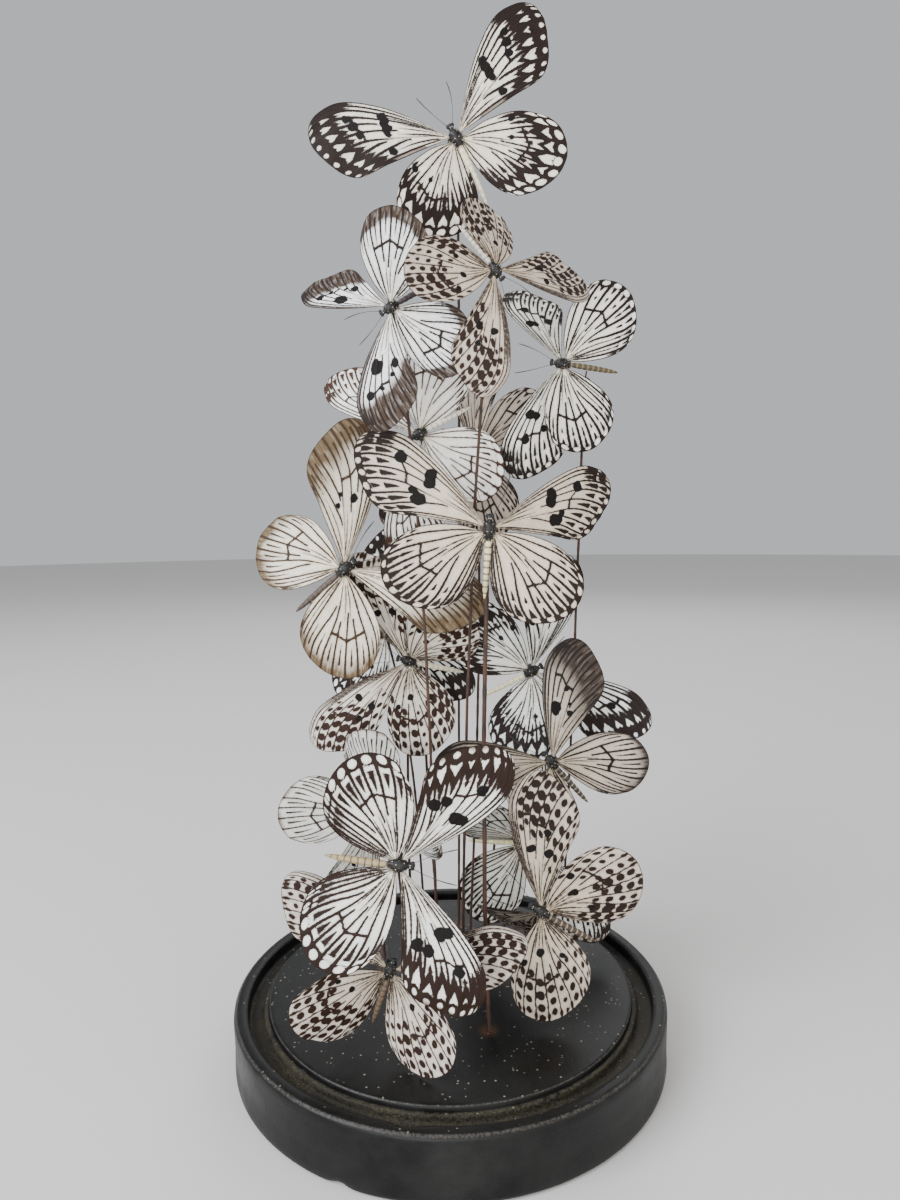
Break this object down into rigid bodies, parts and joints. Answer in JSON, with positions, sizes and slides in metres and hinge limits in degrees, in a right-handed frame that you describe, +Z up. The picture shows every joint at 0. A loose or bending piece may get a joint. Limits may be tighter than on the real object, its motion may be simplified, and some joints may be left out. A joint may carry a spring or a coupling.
{
  "type": "mounted butterfly display",
  "caption": "Dried butterflies on rusty rods above a turned black base with a groove for a glass dome.",
  "frame": {"origin": "centre of the base's underside", "axes": "+Z up from the underside, -Y towards the side the specimens are shown from"},
  "size_m": [0.22, 0.22, 0.5018],
  "materials": {
    "base_wood": "black stained, satin, worn at the edges",
    "specimen": "dry papery wing scales, cream with dark brown markings",
    "rod_iron": "rusty brown, with a matt black bead at the tip"
  },
  "bodies": {
    "root": {"base": "base_wood", "butterfly_top": "specimen", "rod_top": "rod_iron", "butterfly_upper_left": "specimen", "rod_upper_left": "rod_iron", "butterfly_upper_middle": "specimen", "rod_upper_middle": "rod_iron", "butterfly_upper_right": "specimen", "rod_upper_right": "rod_iron", "butterfly_behind_left": "specimen", "rod_behind_left": "rod_iron", "butterfly_behind_right": "specimen", "rod_behind_right": "rod_iron", "butterfly_middle_left": "specimen", "rod_middle_left": "rod_iron", "butterfly_centre": "specimen", "rod_centre": "rod_iron", "butterfly_lower_right": "specimen", "rod_lower_right": "rod_iron", "butterfly_back_right": "specimen", "rod_back_right": "rod_iron", "butterfly_inner_left": "specimen", "rod_inner_left": "rod_iron", "butterfly_back_left": "specimen", "rod_back_left": "rod_iron", "butterfly_front": "specimen", "rod_front": "rod_iron", "butterfly_back_low": "specimen", "rod_back_low": "rod_iron", "butterfly_front_low": "specimen", "rod_front_low": "rod_iron", "butterfly_right_low": "specimen", "rod_right_low": "rod_iron", "butterfly_back_right_low": "specimen", "rod_back_right_low": "rod_iron"}
  },
  "joints": []
}
